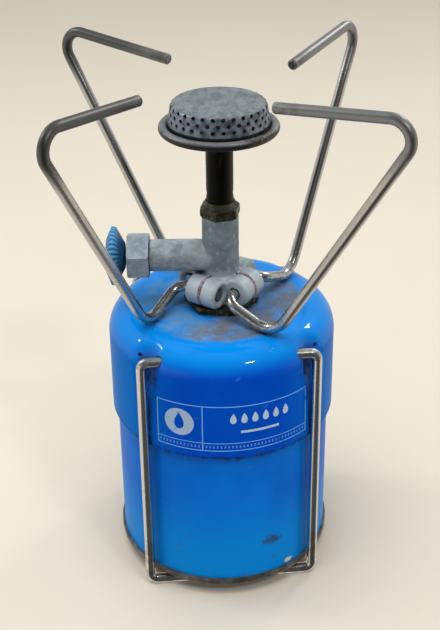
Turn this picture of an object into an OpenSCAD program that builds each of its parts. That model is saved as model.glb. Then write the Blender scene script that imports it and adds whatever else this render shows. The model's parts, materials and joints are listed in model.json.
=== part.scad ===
// Single-burner camping stove on a pierceable gas cartridge.
// A sheet-steel casing caps the cartridge and two wire stirrups hold it from below.
// The burner screws down through the casing until its needle pierces the cartridge.
// Origin: on the ground, on the burner's axis. +Z is up and the casing's print faces -Y.

/* [Cartridge] */
// Outside diameter of the cartridge
cartridge_d = 90; // [80:1:100]
// Height of the cartridge from seam to crown
cartridge_h = 94; // [90:1:98]
// Thickness of the cartridge's steel
cartridge_wall = 0.6; // [0.4:0.1:1]
// How far the seam at the foot stands out from the wall
seam_out = 1; // [0.5:0.1:2]
// Height of the seam
seam_h = 3.2; // [2:0.1:5]

/* [Casing] */
// Outside diameter of the casing
casing_d = 94; // [93:0.5:96]
// Height of the casing from lower edge to top
casing_h = 46; // [40:0.5:50]
// Thickness of the casing's steel
casing_wall = 0.9; // [0.7:0.1:1.2]
// Rounding between the casing's wall and top
shoulder_r = 11; // [6:0.5:14]
// Rise of the casing's lower edge above the cartridge's seam
skirt_rise = 66.4; // [64:0.1:67]
// Radius of the tool that presses each flute
flute_r = 10; // [9:0.5:12]
// Depth of a flute at the stirrup's pivot
flute_depth = 3.8; // [3:0.1:4.2]
// Lean of a flute towards the axis
flute_lean = 11; // [6:1:15]

/* [Stirrups] */
// Diameter of the stirrup wire
stirrup_wire = 4; // [3:0.1:4.4]
// Depth worn off the wire where the stove stands on it
foot_wear = 0.1; // [0.05:0.05:0.3]
// Gap between the bars and the cartridge's seam
seam_gap = 1.2; // [1:0.1:3]
// Distance of each leg from the axis
leg_r = 49.2; // [49.2:0.1:51]
// Height of the pivots above the cartridge's seam
pivot_rise = 105.8; // [104:0.1:106]

/* [Burner] */
// Turn of the burner about the axis, from the casing's print
burner_turn = -5; // [-45:1:45]
// Height of the hub's barrels above the casing's top
hub_rise = 9.2; // [9:0.1:12]
// Distance of each barrel from the axis
barrel_offset = 11; // [10.5:0.1:12]
// Diameter of a barrel
barrel_d = 12; // [11:0.1:12]
// Length of a barrel
barrel_l = 14; // [12:0.5:14]
// Diameter of the column
column_d = 15; // [14:0.5:16]
// Height of the column's top above the casing's top
column_rise = 39.3; // [38:0.1:42]
// Height of the valve's axis above the casing's top
valve_rise = 21.1; // [20:0.1:22]
// Diameter of the valve's arm
valve_arm_d = 13.2; // [12:0.1:14]
// Reach of the valve's arm from the axis
valve_reach = 29.1; // [28:0.1:32]
// Diameter of the knob
knob_d = 24; // [18:0.5:26]
// Diameter of the burner tube
tube_d = 10.9; // [10:0.1:11.2]
// Height of the head's rim above the casing's top
head_rise = 76.5; // [70:0.5:90]
// Diameter of the head's rim
head_d = 47.4; // [46:0.1:50]
// Diameter of a flame hole
flame_hole_d = 1.7; // [1:0.1:1.8]
// Flame holes in one row
flame_holes = 30; // [20:1:36]

/* [Pan supports] */
// Diameter of the pan support wire
pan_wire = 4.4; // [4:0.1:4.5]
// Direction of the first pan support, from the valve's arm
pan_turn = 147; // [140:1:155]
// Distance of each support's plane from the axis
swirl = 13.7; // [13.5:0.1:15]
// Fall of the wire from the hub
dip_angle = 22.3; // [20:0.1:23]
// Slope of the leg
leg_angle = 59.7; // [55:0.1:65]
// Slope of the bar that carries the pan
bar_angle = 5.9; // [3:0.1:8]
// Reach of the lower bend's corner
low_corner = 33.4; // [33:0.1:34]
// Length of the leg between its corners
leg_l = 116.8; // [110:0.1:125]
// Radius of the lower bend
low_bend_r = 10.6; // [10:0.1:12]
// Radius of the upper bend
high_bend_r = 7.6; // [6:0.1:10]
// Reach of the tip
tip_reach = 32.5; // [30:0.1:40]

/* [Hidden] */
$fn = 64;

// Clearance of a running fit, and between pieces that only sit together
run_gap = 0.05;
sit_gap = 0.2;
// Overshoot of a cut, so that no face is left on another
over = 1;
// How much a bend thins a wire, and how far it laps into the straights, in degrees
bend_ease = 0.03;
bend_lap = 1;

// Heights, from the ground up
bar_z = stirrup_wire / 2 - foot_wear;
seam_z = bar_z + stirrup_wire / 2 + seam_gap;
crown_z = seam_z + cartridge_h;
pivot_z = seam_z + pivot_rise;
skirt_z = seam_z + skirt_rise;
casing_z = skirt_z + casing_h;
hub_z = casing_z + hub_rise;
column_z = casing_z + column_rise;
valve_z = casing_z + valve_rise;
head_z = casing_z + head_rise;

cartridge_r = cartridge_d / 2;
casing_r = casing_d / 2;
column_r = column_d / 2;
valve_az = 180 + burner_turn;

// A ring with a rectangular section, from z to z + h
module ring(outer, inner, z, h) {
  translate([0, 0, z])
    rotate_extrude()
      translate([inner, 0])
        square([outer - inner, h]);
}

// A hexagon prism measured across its flats, with its corners turned down a little
module hexagon(flats, z, h) {
  corner = flats / sqrt(3);
  bevel = corner - flats / 2;
  intersection() {
    translate([0, 0, z])
      cylinder(r = corner, h = h, $fn = 6);
    rotate_extrude()
      polygon([
        [0, z], [corner - bevel / 2, z], [corner, z + bevel / 2],
        [corner, z + h - bevel / 2], [corner - bevel / 2, z + h], [0, z + h]
      ]);
  }
}

// Rows of V-shaped grooves that stand for a thread, as cuts around an upright rod
module thread_cuts(rod_r, z, h, pitch) {
  for (i = [0 : floor(h / pitch) - 1])
    translate([0, 0, z + (i + 0.5) * pitch])
      rotate_extrude()
        polygon([[rod_r - pitch / 2.5, 0], [rod_r + over, pitch * 0.9], [rod_r + over, -pitch * 0.9]]);
}

// A wire bent to a list of steps, starting at the origin and heading along +Z.
// ["go", length] is straight, ["bend", radius, angle] turns towards +X,
// ["roll", angle] turns the next bend about the wire, and ["blunt", length] ends it.
// Bending thins the wire by bend_ease, and each bend laps into its neighbours.
module bent_wire(r, steps, i = 0) {
  if (i < len(steps)) {
    step = steps[i];
    if (step[0] == "go") {
      cylinder(r = r, h = step[1]);
      translate([0, 0, step[1]])
        bent_wire(r, steps, i + 1);
    }
    if (step[0] == "bend") {
      translate([step[1], 0, 0])
        rotate([90, 0, 180])
          rotate([0, 0, -bend_lap])
            rotate_extrude(angle = step[2] + 2 * bend_lap)
              translate([step[1], 0])
                circle(r = r - bend_ease);
      translate([step[1], 0, 0])
        rotate([0, step[2], 0])
          translate([-step[1], 0, 0])
            bent_wire(r, steps, i + 1);
    }
    if (step[0] == "roll") {
      rotate([0, 0, step[1]])
        bent_wire(r, steps, i + 1);
    }
    if (step[0] == "blunt")
      cylinder(r1 = r, r2 = r - step[1], h = step[1]);
  }
}

// ---- Cartridge ----

crown_r = 9;
spout_r = 1.3;
bead_r = 1.2;
wall_z = seam_z + 2 * bead_r + run_gap;

// Outline of the cartridge wall and crown, inset by the given thickness
module crown_outline(inset) {
  translate([0, wall_z])
    square([cartridge_r - inset, crown_z - crown_r - wall_z]);
  translate([0, crown_z - crown_r])
    square([cartridge_r - crown_r, crown_r - inset]);
  intersection() {
    translate([cartridge_r - crown_r, crown_z - crown_r])
      circle(r = crown_r - inset);
    translate([cartridge_r - crown_r, crown_z - crown_r])
      square(crown_r);
  }
}

module cartridge_shell() {
  color([0.05, 0.36, 0.75])
    difference() {
      rotate_extrude()
        difference() {
          crown_outline(0);
          crown_outline(cartridge_wall);
        }
      translate([0, 0, crown_z - crown_r])
        cylinder(r = spout_r, h = crown_r + over);
    }
}

module cartridge_base() {
  seam_r = cartridge_r + seam_out;
  dish_drop = 0.3;
  color([0.45, 0.42, 0.38])
    rotate_extrude() {
      // Rolled bead, with a lip that stands up around the wall
      translate([seam_r - bead_r, seam_z + bead_r])
        circle(r = bead_r);
      translate([cartridge_r + run_gap, seam_z + bead_r])
        square([seam_out - run_gap, seam_h - bead_r]);
      // Bottom of the cartridge
      translate([0, seam_z + bead_r - dish_drop])
        square([seam_r - bead_r, cartridge_wall]);
    }
}

// ---- Casing ----

flute_floor = casing_r - flute_depth;
bush_hole_r = 10;

// Outline of the casing's outside, or of its inside when inset by the thickness
module casing_outline(inset) {
  translate([0, skirt_z - (inset > 0 ? over : 0)])
    square([casing_r - inset, casing_h - shoulder_r + (inset > 0 ? over : 0)]);
  translate([0, casing_z - shoulder_r])
    square([casing_r - shoulder_r, shoulder_r - inset]);
  intersection() {
    translate([casing_r - shoulder_r, casing_z - shoulder_r])
      circle(r = shoulder_r - inset);
    translate([casing_r - shoulder_r, casing_z - shoulder_r])
      square(shoulder_r);
  }
}

// Four leaning cylinders, one above each stirrup leg
module flutes(r) {
  for (turn = [45 : 90 : 315])
    rotate([0, 0, turn])
      translate([flute_floor + flute_r, 0, pivot_z])
        rotate([0, -flute_lean, 0])
          translate([0, 0, -60])
            cylinder(r = r, h = 120);
}

// The hole for one stirrup end, with the open corner above it
module hook_hole() {
  hole_r = stirrup_wire / 2 + run_gap;
  translate([-leg_r * cos(45), -leg_r * sin(45), pivot_z]) {
    rotate([0, 90, 0])
      cylinder(r = hole_r, h = 16);
    translate([0, -hole_r / 2, 0])
      cube([16, hole_r, hole_r + 1.6]);
  }
}

module casing() {
  color([0.0, 0.42, 0.85])
    difference() {
      difference() {
        rotate_extrude()
          casing_outline(0);
        flutes(flute_r);
      }
      difference() {
        rotate_extrude()
          casing_outline(casing_wall);
        flutes(flute_r + casing_wall);
      }
      cylinder(r = bush_hole_r + run_gap, h = casing_z + over);
      for (flip = [0, 1])
        for (end = [0, 180])
          mirror([flip, 0, 0])
            rotate([0, 0, end])
              hook_hole();
    }
}

bush_flats = 27;
bush_turn = -11;
bush_h = 2.6;
bush_drop = 9;
stem_r = 7;

module casing_bush() {
  color([0.55, 0.42, 0.2])
    difference() {
      union() {
        rotate([0, 0, bush_turn])
          hexagon(bush_flats, casing_z, bush_h);
        translate([0, 0, casing_z - bush_drop])
          cylinder(r = bush_hole_r, h = bush_drop + bush_h / 2);
      }
      translate([0, 0, casing_z - bush_drop - over])
        cylinder(r = stem_r + run_gap, h = bush_drop + bush_h + 2 * over);
    }
}

module bush_nut() {
  nut_h = 4;
  color([0.6, 0.5, 0.3])
    difference() {
      hexagon(bush_flats - 2, casing_z - casing_wall - nut_h - run_gap, nut_h);
      translate([0, 0, casing_z - bush_drop])
        cylinder(r = bush_hole_r + run_gap, h = bush_drop);
    }
}

// ---- Stirrups ----

module stirrup() {
  leg_x = leg_r * cos(45);
  hook_r = 2.8;
  hook_l = 6.6;
  corner_r = 3.4;
  rise = pivot_z - bar_z - hook_r - corner_r;
  side = [["go", rise], ["bend", hook_r, 90], ["go", hook_l]];
  difference() {
    union() {
      // Each half runs from the middle of the bar, up one leg and into the casing
      for (flip = [0, 1])
        mirror([flip, 0, 0])
          translate([0, -leg_x, bar_z])
            rotate([0, -90, 0])
              bent_wire(stirrup_wire / 2, concat([["go", leg_x - corner_r], ["bend", corner_r, 90]], side));
    }
    translate([-leg_x, -leg_x - stirrup_wire, -stirrup_wire])
      cube([2 * leg_x, 2 * stirrup_wire, stirrup_wire]);
  }
}

module front_stirrup() {
  color([0.8, 0.8, 0.82])
    stirrup();
}

module rear_stirrup() {
  color([0.8, 0.8, 0.82])
    rotate([0, 0, 180])
      stirrup();
}

// ---- Hub, column and valve ----

barrel_r = barrel_d / 2;
pan_wire_r = pan_wire / 2;
ring_w = 1.3;
ring_depth = 0.8;
core_r = 10;
core_z = casing_z + bush_h + sit_gap;
spigot_r = 4.8;
spigot_h = 8;
chamber_r = 4.5;
chamber_x = 8;
jet_socket_r = 5.2;
jet_socket_h = 7.8;

// Places something in each pan support's own frame, where +X points outwards
// and the support lies on the clockwise side of the axis
module at_support(k) {
  rotate([0, 0, valve_az + pan_turn + 90 * k])
    translate([barrel_offset, 0, hub_z])
      children();
}

// Places something along the valve's axis, with +Z pointing outwards
module along_valve() {
  translate([0, 0, valve_z])
    rotate([0, 0, valve_az])
      rotate([0, 90, 0])
        children();
}

module barrel() {
  bevel = 0.8;
  rotate([90, 0, 0])
    translate([0, 0, -barrel_l / 2]) {
      cylinder(r1 = barrel_r - bevel, r2 = barrel_r, h = bevel);
      translate([0, 0, bevel])
        cylinder(r = barrel_r, h = barrel_l - 2 * bevel);
      translate([0, 0, barrel_l - bevel])
        cylinder(r1 = barrel_r, r2 = barrel_r - bevel, h = bevel);
    }
}

module barrel_cuts() {
  sink = 1;
  rotate([90, 0, 0]) {
    translate([0, 0, -barrel_l])
      cylinder(r = pan_wire_r + run_gap, h = 2 * barrel_l);
    translate([0, 0, -barrel_l / 2 - run_gap])
      cylinder(r1 = pan_wire_r + 2 * sink, r2 = pan_wire_r + run_gap, h = 2 * sink);
    ring(barrel_r + run_gap, barrel_r - ring_depth - run_gap, -ring_w / 2, ring_w);
  }
}

module valve_body() {
  port_lean = 47;
  color([0.55, 0.56, 0.56])
    difference() {
      union() {
        translate([0, 0, core_z])
          cylinder(r = core_r, h = hub_z + 2 - core_z);
        translate([0, 0, hub_z + 2])
          cylinder(r1 = core_r, r2 = column_r, h = 3.4);
        translate([0, 0, core_z])
          cylinder(r = column_r, h = column_z - core_z);
        for (k = [0 : 3])
          at_support(k)
            barrel();
        along_valve()
          cylinder(r = valve_arm_d / 2, h = valve_reach);
      }
      for (k = [0 : 3])
        at_support(k)
          barrel_cuts();
      // Socket for the stem, and the way up to the seat
      translate([0, 0, core_z - over])
        cylinder(r = spigot_r + run_gap, h = spigot_h + over);
      translate([0, 0, core_z])
        cylinder(r = 1.5, h = valve_z - core_z);
      // Seat, chamber, and the port from the chamber to the jet
      along_valve() {
        cylinder(r = 0.8, h = chamber_x + over);
        translate([0, 0, chamber_x])
          cylinder(r = chamber_r, h = valve_reach);
      }
      rotate([0, 0, valve_az])
        translate([chamber_x + 1.6, 0, valve_z + 3.4])
          rotate([0, -port_lean, 0])
            cylinder(r = 0.9, h = 10);
      translate([0, 0, column_z - jet_socket_h - 1])
        cylinder(r = jet_socket_r + run_gap, h = jet_socket_h + 1 + over);
    }
}

module barrel_rings() {
  color([0.5, 0.12, 0.12])
    for (k = [0 : 3])
      at_support(k)
        rotate([90, 0, 0])
          ring(barrel_r - 0.25, barrel_r - ring_depth, -ring_w / 2 + run_gap, ring_w - 2 * run_gap);
}

// ---- Piercing gear ----

seal_h = 2.4;
stem_z = crown_z + seal_h + 2 * run_gap;
stem_bore_r = 2.5;
needle_r = 1.2;
needle_top = stem_z + 5;
stem_pitch = 1.5;

module piercing_stem() {
  color([0.7, 0.55, 0.3])
    difference() {
      union() {
        translate([0, 0, stem_z])
          cylinder(r1 = stem_r - 1, r2 = stem_r, h = 1);
        translate([0, 0, stem_z + 1])
          cylinder(r = stem_r, h = core_z - stem_z - 1);
        translate([0, 0, core_z])
          cylinder(r = spigot_r, h = spigot_h - run_gap);
      }
      thread_cuts(stem_r, stem_z + 2, core_z - stem_z - 2, stem_pitch);
      translate([0, 0, needle_top])
        cylinder(r = stem_bore_r, h = core_z + spigot_h);
      translate([0, 0, stem_z - over])
        cylinder(r = needle_r + run_gap, h = needle_top);
    }
}

module piercing_needle() {
  tip_h = 3.2;
  bite = 1.4;
  color([0.75, 0.75, 0.78])
    difference() {
      union() {
        translate([0, 0, crown_z - bite])
          cylinder(r = needle_r, h = needle_top - crown_z + bite);
        translate([0, 0, crown_z - bite - tip_h])
          cylinder(r1 = 0.15, r2 = needle_r, h = tip_h);
      }
      translate([0, 0, crown_z - bite])
        cylinder(r = 0.5, h = needle_top);
      translate([0, 0, crown_z - bite])
        rotate([0, 90, 0])
          cylinder(r = 0.5, h = needle_r + over);
    }
}

module piercing_seal() {
  color([0.08, 0.08, 0.08])
    ring(stem_r - 1, needle_r + 0.6, crown_z + run_gap, seal_h);
}

module gas_filter() {
  color([0.85, 0.83, 0.75])
    translate([0, 0, needle_top + run_gap])
      cylinder(r = stem_bore_r - run_gap, h = 7);
}

// ---- Burner ----

nut_h = 4;
nut_flats = 14.6;
shoulder_h = 2.4;
jet_r = 2.6;
tube_r = tube_d / 2;
tube_wall = 1;
tube_z = column_z + 1.2;
neck_r = tube_r + 1;
neck_h = 3;
neck_z = head_z - 7.5;
rim_r = head_d / 2;
roll_r = 1.8;
roll_rise = 0.35;
foot_r = rim_r - 3.8;
cap_h = 10.6;
cap_wall = 0.7;
cap_round = 1.8;
cap_lean = 10;
step_h = 2.75;
cap_arc_z = cap_h - cap_round;
cap_edge_r = foot_r - (cap_arc_z + cap_round * sin(cap_lean) - step_h) * tan(cap_lean);
cap_arc_r = cap_edge_r - cap_round * cos(cap_lean);
row_rise = 4.6;
row_gap = 2.4;

module tube_nut() {
  color([0.32, 0.3, 0.2])
    difference() {
      union() {
        rotate([0, 0, valve_az + 78])
          hexagon(nut_flats, column_z, nut_h);
        translate([0, 0, column_z + nut_h - 0.5])
          cylinder(r1 = nut_flats / 2 - 0.2, r2 = tube_r + 0.5, h = shoulder_h + 0.5);
        translate([0, 0, column_z - jet_socket_h])
          cylinder(r = jet_socket_r, h = jet_socket_h + nut_h / 2);
      }
      translate([0, 0, column_z - jet_socket_h - over])
        cylinder(r = jet_r + run_gap, h = jet_socket_h + nut_h + over);
      translate([0, 0, tube_z])
        cylinder(r = tube_r + run_gap, h = nut_h + shoulder_h);
    }
}

module gas_jet() {
  body_h = jet_socket_h + 1;
  tip_h = 3.2;
  color([0.75, 0.6, 0.3])
    difference() {
      union() {
        translate([0, 0, column_z - jet_socket_h])
          cylinder(r = jet_r, h = body_h);
        translate([0, 0, column_z - jet_socket_h + body_h])
          cylinder(r1 = jet_r, r2 = 1, h = tip_h);
      }
      translate([0, 0, column_z - jet_socket_h - over])
        cylinder(r = 1.2, h = body_h);
      translate([0, 0, column_z])
        cylinder(r = 0.25, h = body_h);
    }
}

module burner_tube() {
  air_r = 1.7;
  air_z = tube_z + nut_h + shoulder_h + 2;
  color([0.14, 0.11, 0.1])
    difference() {
      ring(tube_r, tube_r - tube_wall, tube_z + run_gap, neck_z + neck_h - tube_z - 2 * run_gap);
      // Air holes on the two sides
      rotate([0, 0, valve_az])
        translate([-tube_d, 0, air_z])
          rotate([0, 90, 0])
            cylinder(r = air_r, h = 2 * tube_d);
    }
}

module burner_pan() {
  dish = 0.9;
  inner_r = tube_r + run_gap;
  color([0.2, 0.19, 0.18])
    rotate_extrude()
      polygon(concat(
        // Rolled rim, from the top of the dish over and round to its underside
        [
          for (a = [195 : -15 : -105])
            [rim_r - roll_r + roll_r * cos(a), head_z + roll_rise + roll_r * sin(a)]
        ],
        // Down the dish's underside to the neck, and back along the top
        [
          [neck_r + 1, neck_z + neck_h - dish], [neck_r, neck_z + neck_h - dish - 0.6], [neck_r, neck_z],
          [inner_r, neck_z], [inner_r, neck_z + neck_h], [neck_r + 1, neck_z + neck_h]
        ]
      ));
}

// One side of the cap, from its foot to the edge of its crown, thinned by inset
function cap_side(inset) = [
  [foot_r - inset, head_z],
  [foot_r - inset, head_z + step_h],
  for (a = [cap_lean : 20 : 90])
    [
      cap_arc_r + (cap_round - inset) * cos(a),
      head_z + cap_arc_z + (cap_round - inset) * sin(a)
    ]
];

module burner_cap() {
  crown = 0.5;
  top = head_z + cap_h + crown;
  outside = cap_side(0);
  inside = cap_side(cap_wall);
  color([0.27, 0.26, 0.25])
    difference() {
      rotate_extrude()
        polygon(concat(
          outside, [[0, top], [0, top - cap_wall]],
          [for (i = [len(inside) - 1 : -1 : 0]) inside[i]]
        ));
      // Three staggered rows of flame holes, drilled square to the slope
      for (row = [0 : 2])
        for (i = [0 : flame_holes - 1])
          rotate([0, 0, 360 / flame_holes * (i + (row + 1) / 2)])
            translate([cap_edge_r, 0, head_z + row_rise + row * row_gap])
              rotate([0, 90 - cap_lean, 0])
                translate([0, 0, -2])
                  cylinder(r = flame_hole_d / 2, h = 8);
    }
}

// ---- Valve gear, laid out along the valve's axis ----

spindle_r = 3.2;
spindle_pitch = 1;
gland_flats = 17;
gland_l = 8.8;
knob_x = valve_reach + gland_l + 1;
knob_l = 7.7;
packing_l = 3.4;
washer_l = 0.8;
spindle_travel = 1.5;
pad_l = 1.6;
packing_x = valve_reach - packing_l;
washer_x = packing_x - washer_l - run_gap;
collar_x = washer_x - spindle_travel - 0.3;
collar_l = 8;
spindle_socket = 5;

module valve_spindle() {
  pad_x = chamber_x + 2 * run_gap + pad_l;
  color([0.1, 0.1, 0.1])
    along_valve()
      difference() {
        union() {
          translate([0, 0, pad_x])
            cylinder(r = 2, h = collar_x - collar_l - pad_x);
          translate([0, 0, collar_x - collar_l])
            cylinder(r = chamber_r - run_gap, h = collar_l);
          translate([0, 0, collar_x])
            cylinder(r = spindle_r, h = knob_x + spindle_socket - collar_x);
        }
        thread_cuts(chamber_r - run_gap, collar_x - collar_l + 1, collar_l - 2, spindle_pitch);
      }
}

module valve_pad() {
  color([0.12, 0.12, 0.12])
    along_valve()
      translate([0, 0, chamber_x + run_gap])
        cylinder(r = 2.4, h = pad_l);
}

module gland_washer() {
  color([0.7, 0.6, 0.4])
    along_valve()
      ring(chamber_r - 0.1, spindle_r + 0.1, washer_x, washer_l);
}

module gland_packing() {
  color([0.25, 0.25, 0.25])
    along_valve()
      ring(chamber_r - 0.1, spindle_r + run_gap, packing_x, packing_l - run_gap);
}

module gland_nut() {
  color([0.6, 0.6, 0.58])
    along_valve()
      difference() {
        rotate([0, 0, 49])
          hexagon(gland_flats, valve_reach, gland_l);
        translate([0, 0, valve_reach - over])
          cylinder(r = spindle_r + run_gap, h = gland_l + 2 * over);
      }
}

module control_knob() {
  ridges = 36;
  back = 4.2;
  band = 1.2;
  face_r = 7.5;
  bevel = atan((knob_d / 2 - face_r) / (knob_l - back - band));
  color([0.15, 0.4, 0.65])
    along_valve()
      difference() {
        translate([0, 0, knob_x])
          rotate_extrude()
            polygon([
              [0, 0], [spindle_r + 2, 0], [knob_d / 2 - 0.4, back - 0.6], [knob_d / 2, back],
              [knob_d / 2, back + band], [face_r, knob_l - 0.3], [face_r / 2, knob_l], [0, knob_l]
            ]);
        translate([0, 0, knob_x - over])
          cylinder(r = spindle_r + run_gap, h = spindle_socket + over + run_gap);
        // Finger ridges up the outer bevel
        for (i = [0 : ridges - 1])
          rotate([0, 0, 360 / ridges * i])
            translate([face_r + 1, 0, knob_x + knob_l - 0.1])
              rotate([0, 180 - bevel, 0])
                cylinder(r = 0.42, h = knob_d);
      }
}

// ---- Pan supports ----

function tangent(r, turn) = r * tan(turn / 2);

module pan_support(k) {
  lead_r = 6;
  low_turn = leg_angle + dip_angle;
  high_turn = 180 + bar_angle - leg_angle;
  lead_l = (low_corner - barrel_offset) / cos(dip_angle);
  high_x = low_corner + leg_l * cos(leg_angle);
  bar_l = (high_x - tip_reach) / cos(bar_angle);
  blunt = 0.5;
  // The wire's end stays a little way inside the barrel
  start = barrel_l / 2 - 0.5;
  at_support(k)
    translate([0, start, 0])
      rotate([0, dip_angle, 0])
        rotate([90, 0, 0])
          bent_wire(pan_wire_r, [
            ["go", start + swirl - lead_r],
            ["bend", lead_r, 90],
            ["roll", 90],
            ["go", lead_l - lead_r - tangent(low_bend_r, low_turn)],
            ["bend", low_bend_r, low_turn],
            ["go", leg_l - tangent(low_bend_r, low_turn) - tangent(high_bend_r, high_turn)],
            ["bend", high_bend_r, high_turn],
            ["go", bar_l - tangent(high_bend_r, high_turn) - blunt],
            ["blunt", blunt]
          ]);
}

module pan_support_1() {
  color([0.62, 0.62, 0.6])
    pan_support(0);
}

module pan_support_2() {
  color([0.62, 0.62, 0.6])
    pan_support(1);
}

module pan_support_3() {
  color([0.62, 0.62, 0.6])
    pan_support(2);
}

module pan_support_4() {
  color([0.62, 0.62, 0.6])
    pan_support(3);
}

cartridge_shell();
cartridge_base();
casing();
casing_bush();
bush_nut();
front_stirrup();
rear_stirrup();
valve_body();
barrel_rings();
piercing_stem();
piercing_needle();
piercing_seal();
gas_filter();
gas_jet();
tube_nut();
burner_tube();
burner_pan();
burner_cap();
valve_spindle();
valve_pad();
gland_washer();
gland_packing();
gland_nut();
control_knob();
pan_support_1();
pan_support_2();
pan_support_3();
pan_support_4();
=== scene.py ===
import json
import math

import bpy
import numpy as np
from mathutils import Matrix, Vector


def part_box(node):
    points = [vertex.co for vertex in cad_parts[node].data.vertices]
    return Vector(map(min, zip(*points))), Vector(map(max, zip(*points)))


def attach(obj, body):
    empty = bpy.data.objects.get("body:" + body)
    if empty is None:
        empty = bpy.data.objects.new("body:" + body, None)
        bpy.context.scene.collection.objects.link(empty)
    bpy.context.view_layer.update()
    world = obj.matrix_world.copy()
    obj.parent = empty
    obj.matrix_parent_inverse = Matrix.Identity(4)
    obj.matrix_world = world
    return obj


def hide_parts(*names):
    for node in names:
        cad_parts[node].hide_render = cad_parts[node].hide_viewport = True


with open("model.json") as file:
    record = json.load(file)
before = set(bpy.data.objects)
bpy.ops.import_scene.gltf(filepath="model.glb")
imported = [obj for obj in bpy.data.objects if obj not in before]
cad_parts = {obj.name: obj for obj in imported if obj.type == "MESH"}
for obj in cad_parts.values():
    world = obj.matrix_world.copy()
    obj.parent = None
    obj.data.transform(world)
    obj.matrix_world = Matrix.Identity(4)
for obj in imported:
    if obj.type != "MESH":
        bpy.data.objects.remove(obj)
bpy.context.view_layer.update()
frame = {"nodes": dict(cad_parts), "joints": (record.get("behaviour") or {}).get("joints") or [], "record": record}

# Everything is in metres in the frame's own axes. MM turns millimetres into metres.
MM = 0.001


def joint(name):
    """One joint of the frame, by name."""
    return next(j for j in frame["joints"] if j["name"] == name)


def span(node, axis):
    """Lowest and highest coordinate of a CAD node along one axis, 0, 1 or 2, in millimetres."""
    lo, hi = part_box(node)
    return lo[axis] / MM, hi[axis] / MM


# Heights and radii that the looks need, in millimetres, all read from the frame
SKIRT_Z, CASING_Z = span("casing", 2)
CASING_R = span("casing", 0)[1]
CARTRIDGE_Z = span("cartridge_shell", 2)[0]
CAP_R = span("burner_cap", 0)[1]
CAP_Z, CAP_TOP = span("burner_cap", 2)
HUB_Z = joint("pan_support_1_fold")["pos_m"][2] / MM
VALVE_Z = joint("valve_turn")["pos_m"][2] / MM
VALVE_AXIS = Vector(joint("valve_turn")["axis"])
LEG_XY = -joint("front_stirrup_swing")["pos_m"][1] / MM
PIVOT_Z = joint("front_stirrup_swing")["pos_m"][2] / MM

# The burner cap's upright foot and the lean of its side, as the part has them
CAP_STEP = 2.75
CAP_LEAN = 10


# ---- Materials ----

class Nodes:
    """A node tree. Its methods add shader nodes and hand back their outputs."""

    def __init__(self, tree):
        self.tree = tree
        self.coords = self.tree.nodes.new("ShaderNodeTexCoord")

    def put(self, value, socket):
        """Links an output to a socket, or sets the socket to a plain value."""
        if isinstance(value, bpy.types.NodeSocket):
            self.tree.links.new(value, socket)
        elif isinstance(value, (tuple, list)) and len(value) == 3 and socket.type == "RGBA":
            socket.default_value = (*value, 1)
        else:
            socket.default_value = value

    def math(self, kind, a, b=None):
        node = self.tree.nodes.new("ShaderNodeMath")
        node.operation = kind
        self.put(a, node.inputs[0])
        if b is not None:
            self.put(b, node.inputs[1])
        return node.outputs[0]

    def vector(self, kind, a, b=None, scale=None):
        node = self.tree.nodes.new("ShaderNodeVectorMath")
        node.operation = kind
        self.put(a, node.inputs[0])
        if b is not None:
            self.put(b, node.inputs[1])
        if scale is not None:
            self.put(scale, node.inputs["Scale"])
        return node.outputs["Value" if kind in ("DOT_PRODUCT", "LENGTH") else "Vector"]

    def ramp(self, value, low, high):
        """0 where value is below low, 1 above high, smooth between; low above high turns it round."""
        node = self.tree.nodes.new("ShaderNodeMapRange")
        node.interpolation_type = "SMOOTHSTEP"
        flip = low > high
        self.put(value, node.inputs["Value"])
        node.inputs["From Min"].default_value = high if flip else low
        node.inputs["From Max"].default_value = low if flip else high
        node.inputs["To Min"].default_value = 1 if flip else 0
        node.inputs["To Max"].default_value = 0 if flip else 1
        return node.outputs["Result"]

    def band(self, value, low, high, soft):
        """1 where value lies between low and high, with edges soft wide."""
        up = self.ramp(value, low - soft / 2, low + soft / 2)
        return self.math("MULTIPLY", up, self.ramp(value, high + soft / 2, high - soft / 2))

    def times(self, *values):
        out = values[0]
        for value in values[1:]:
            out = self.math("MULTIPLY", out, value)
        return out

    def mix(self, factor, a, b):
        node = self.tree.nodes.new("ShaderNodeMix")
        node.data_type = "RGBA"
        self.put(factor, node.inputs[0])
        self.put(a, node.inputs[6])
        self.put(b, node.inputs[7])
        return node.outputs[2]

    def blend(self, factor, a, b):
        """A number that goes from a to b as factor goes from 0 to 1."""
        node = self.tree.nodes.new("ShaderNodeMix")
        self.put(factor, node.inputs[0])
        self.put(a, node.inputs[2])
        self.put(b, node.inputs[3])
        return node.outputs[0]

    def xyz(self, source):
        node = self.tree.nodes.new("ShaderNodeSeparateXYZ")
        self.put(source, node.inputs[0])
        return node.outputs


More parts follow.
